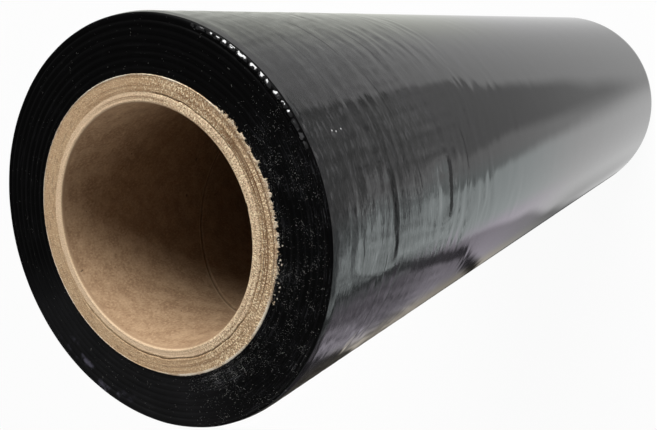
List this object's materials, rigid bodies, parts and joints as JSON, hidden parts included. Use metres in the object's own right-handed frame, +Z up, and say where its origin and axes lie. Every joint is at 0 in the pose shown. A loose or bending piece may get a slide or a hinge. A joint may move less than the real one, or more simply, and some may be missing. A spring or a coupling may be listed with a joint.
{
  "type": "stretch wrap roll",
  "caption": "Roll of black stretch wrap film wound tight on a thick spiral-wound cardboard core, standing on one end, with an open bore for a dispenser's mandrel.",
  "frame": {"origin": "centre of the end of the core that the roll stands on", "axes": "+Z up along the roll's axis, towards the end that the picture shows; +X towards the picture's upper side of the roll; the film's free end lies at 75 degrees from +X towards +Y"},
  "size_m": [0.129, 0.1288, 0.45],
  "materials": {
    "kraft_board": "raw kraft paperboard, spiral wound, sawn at both ends",
    "black_film": "glossy black polyethylene film, wound tight, with fine wrinkles round the roll"
  },
  "bodies": {
    "root": {"core_tube": "kraft_board", "film_roll": "black_film"}
  },
  "joints": []
}
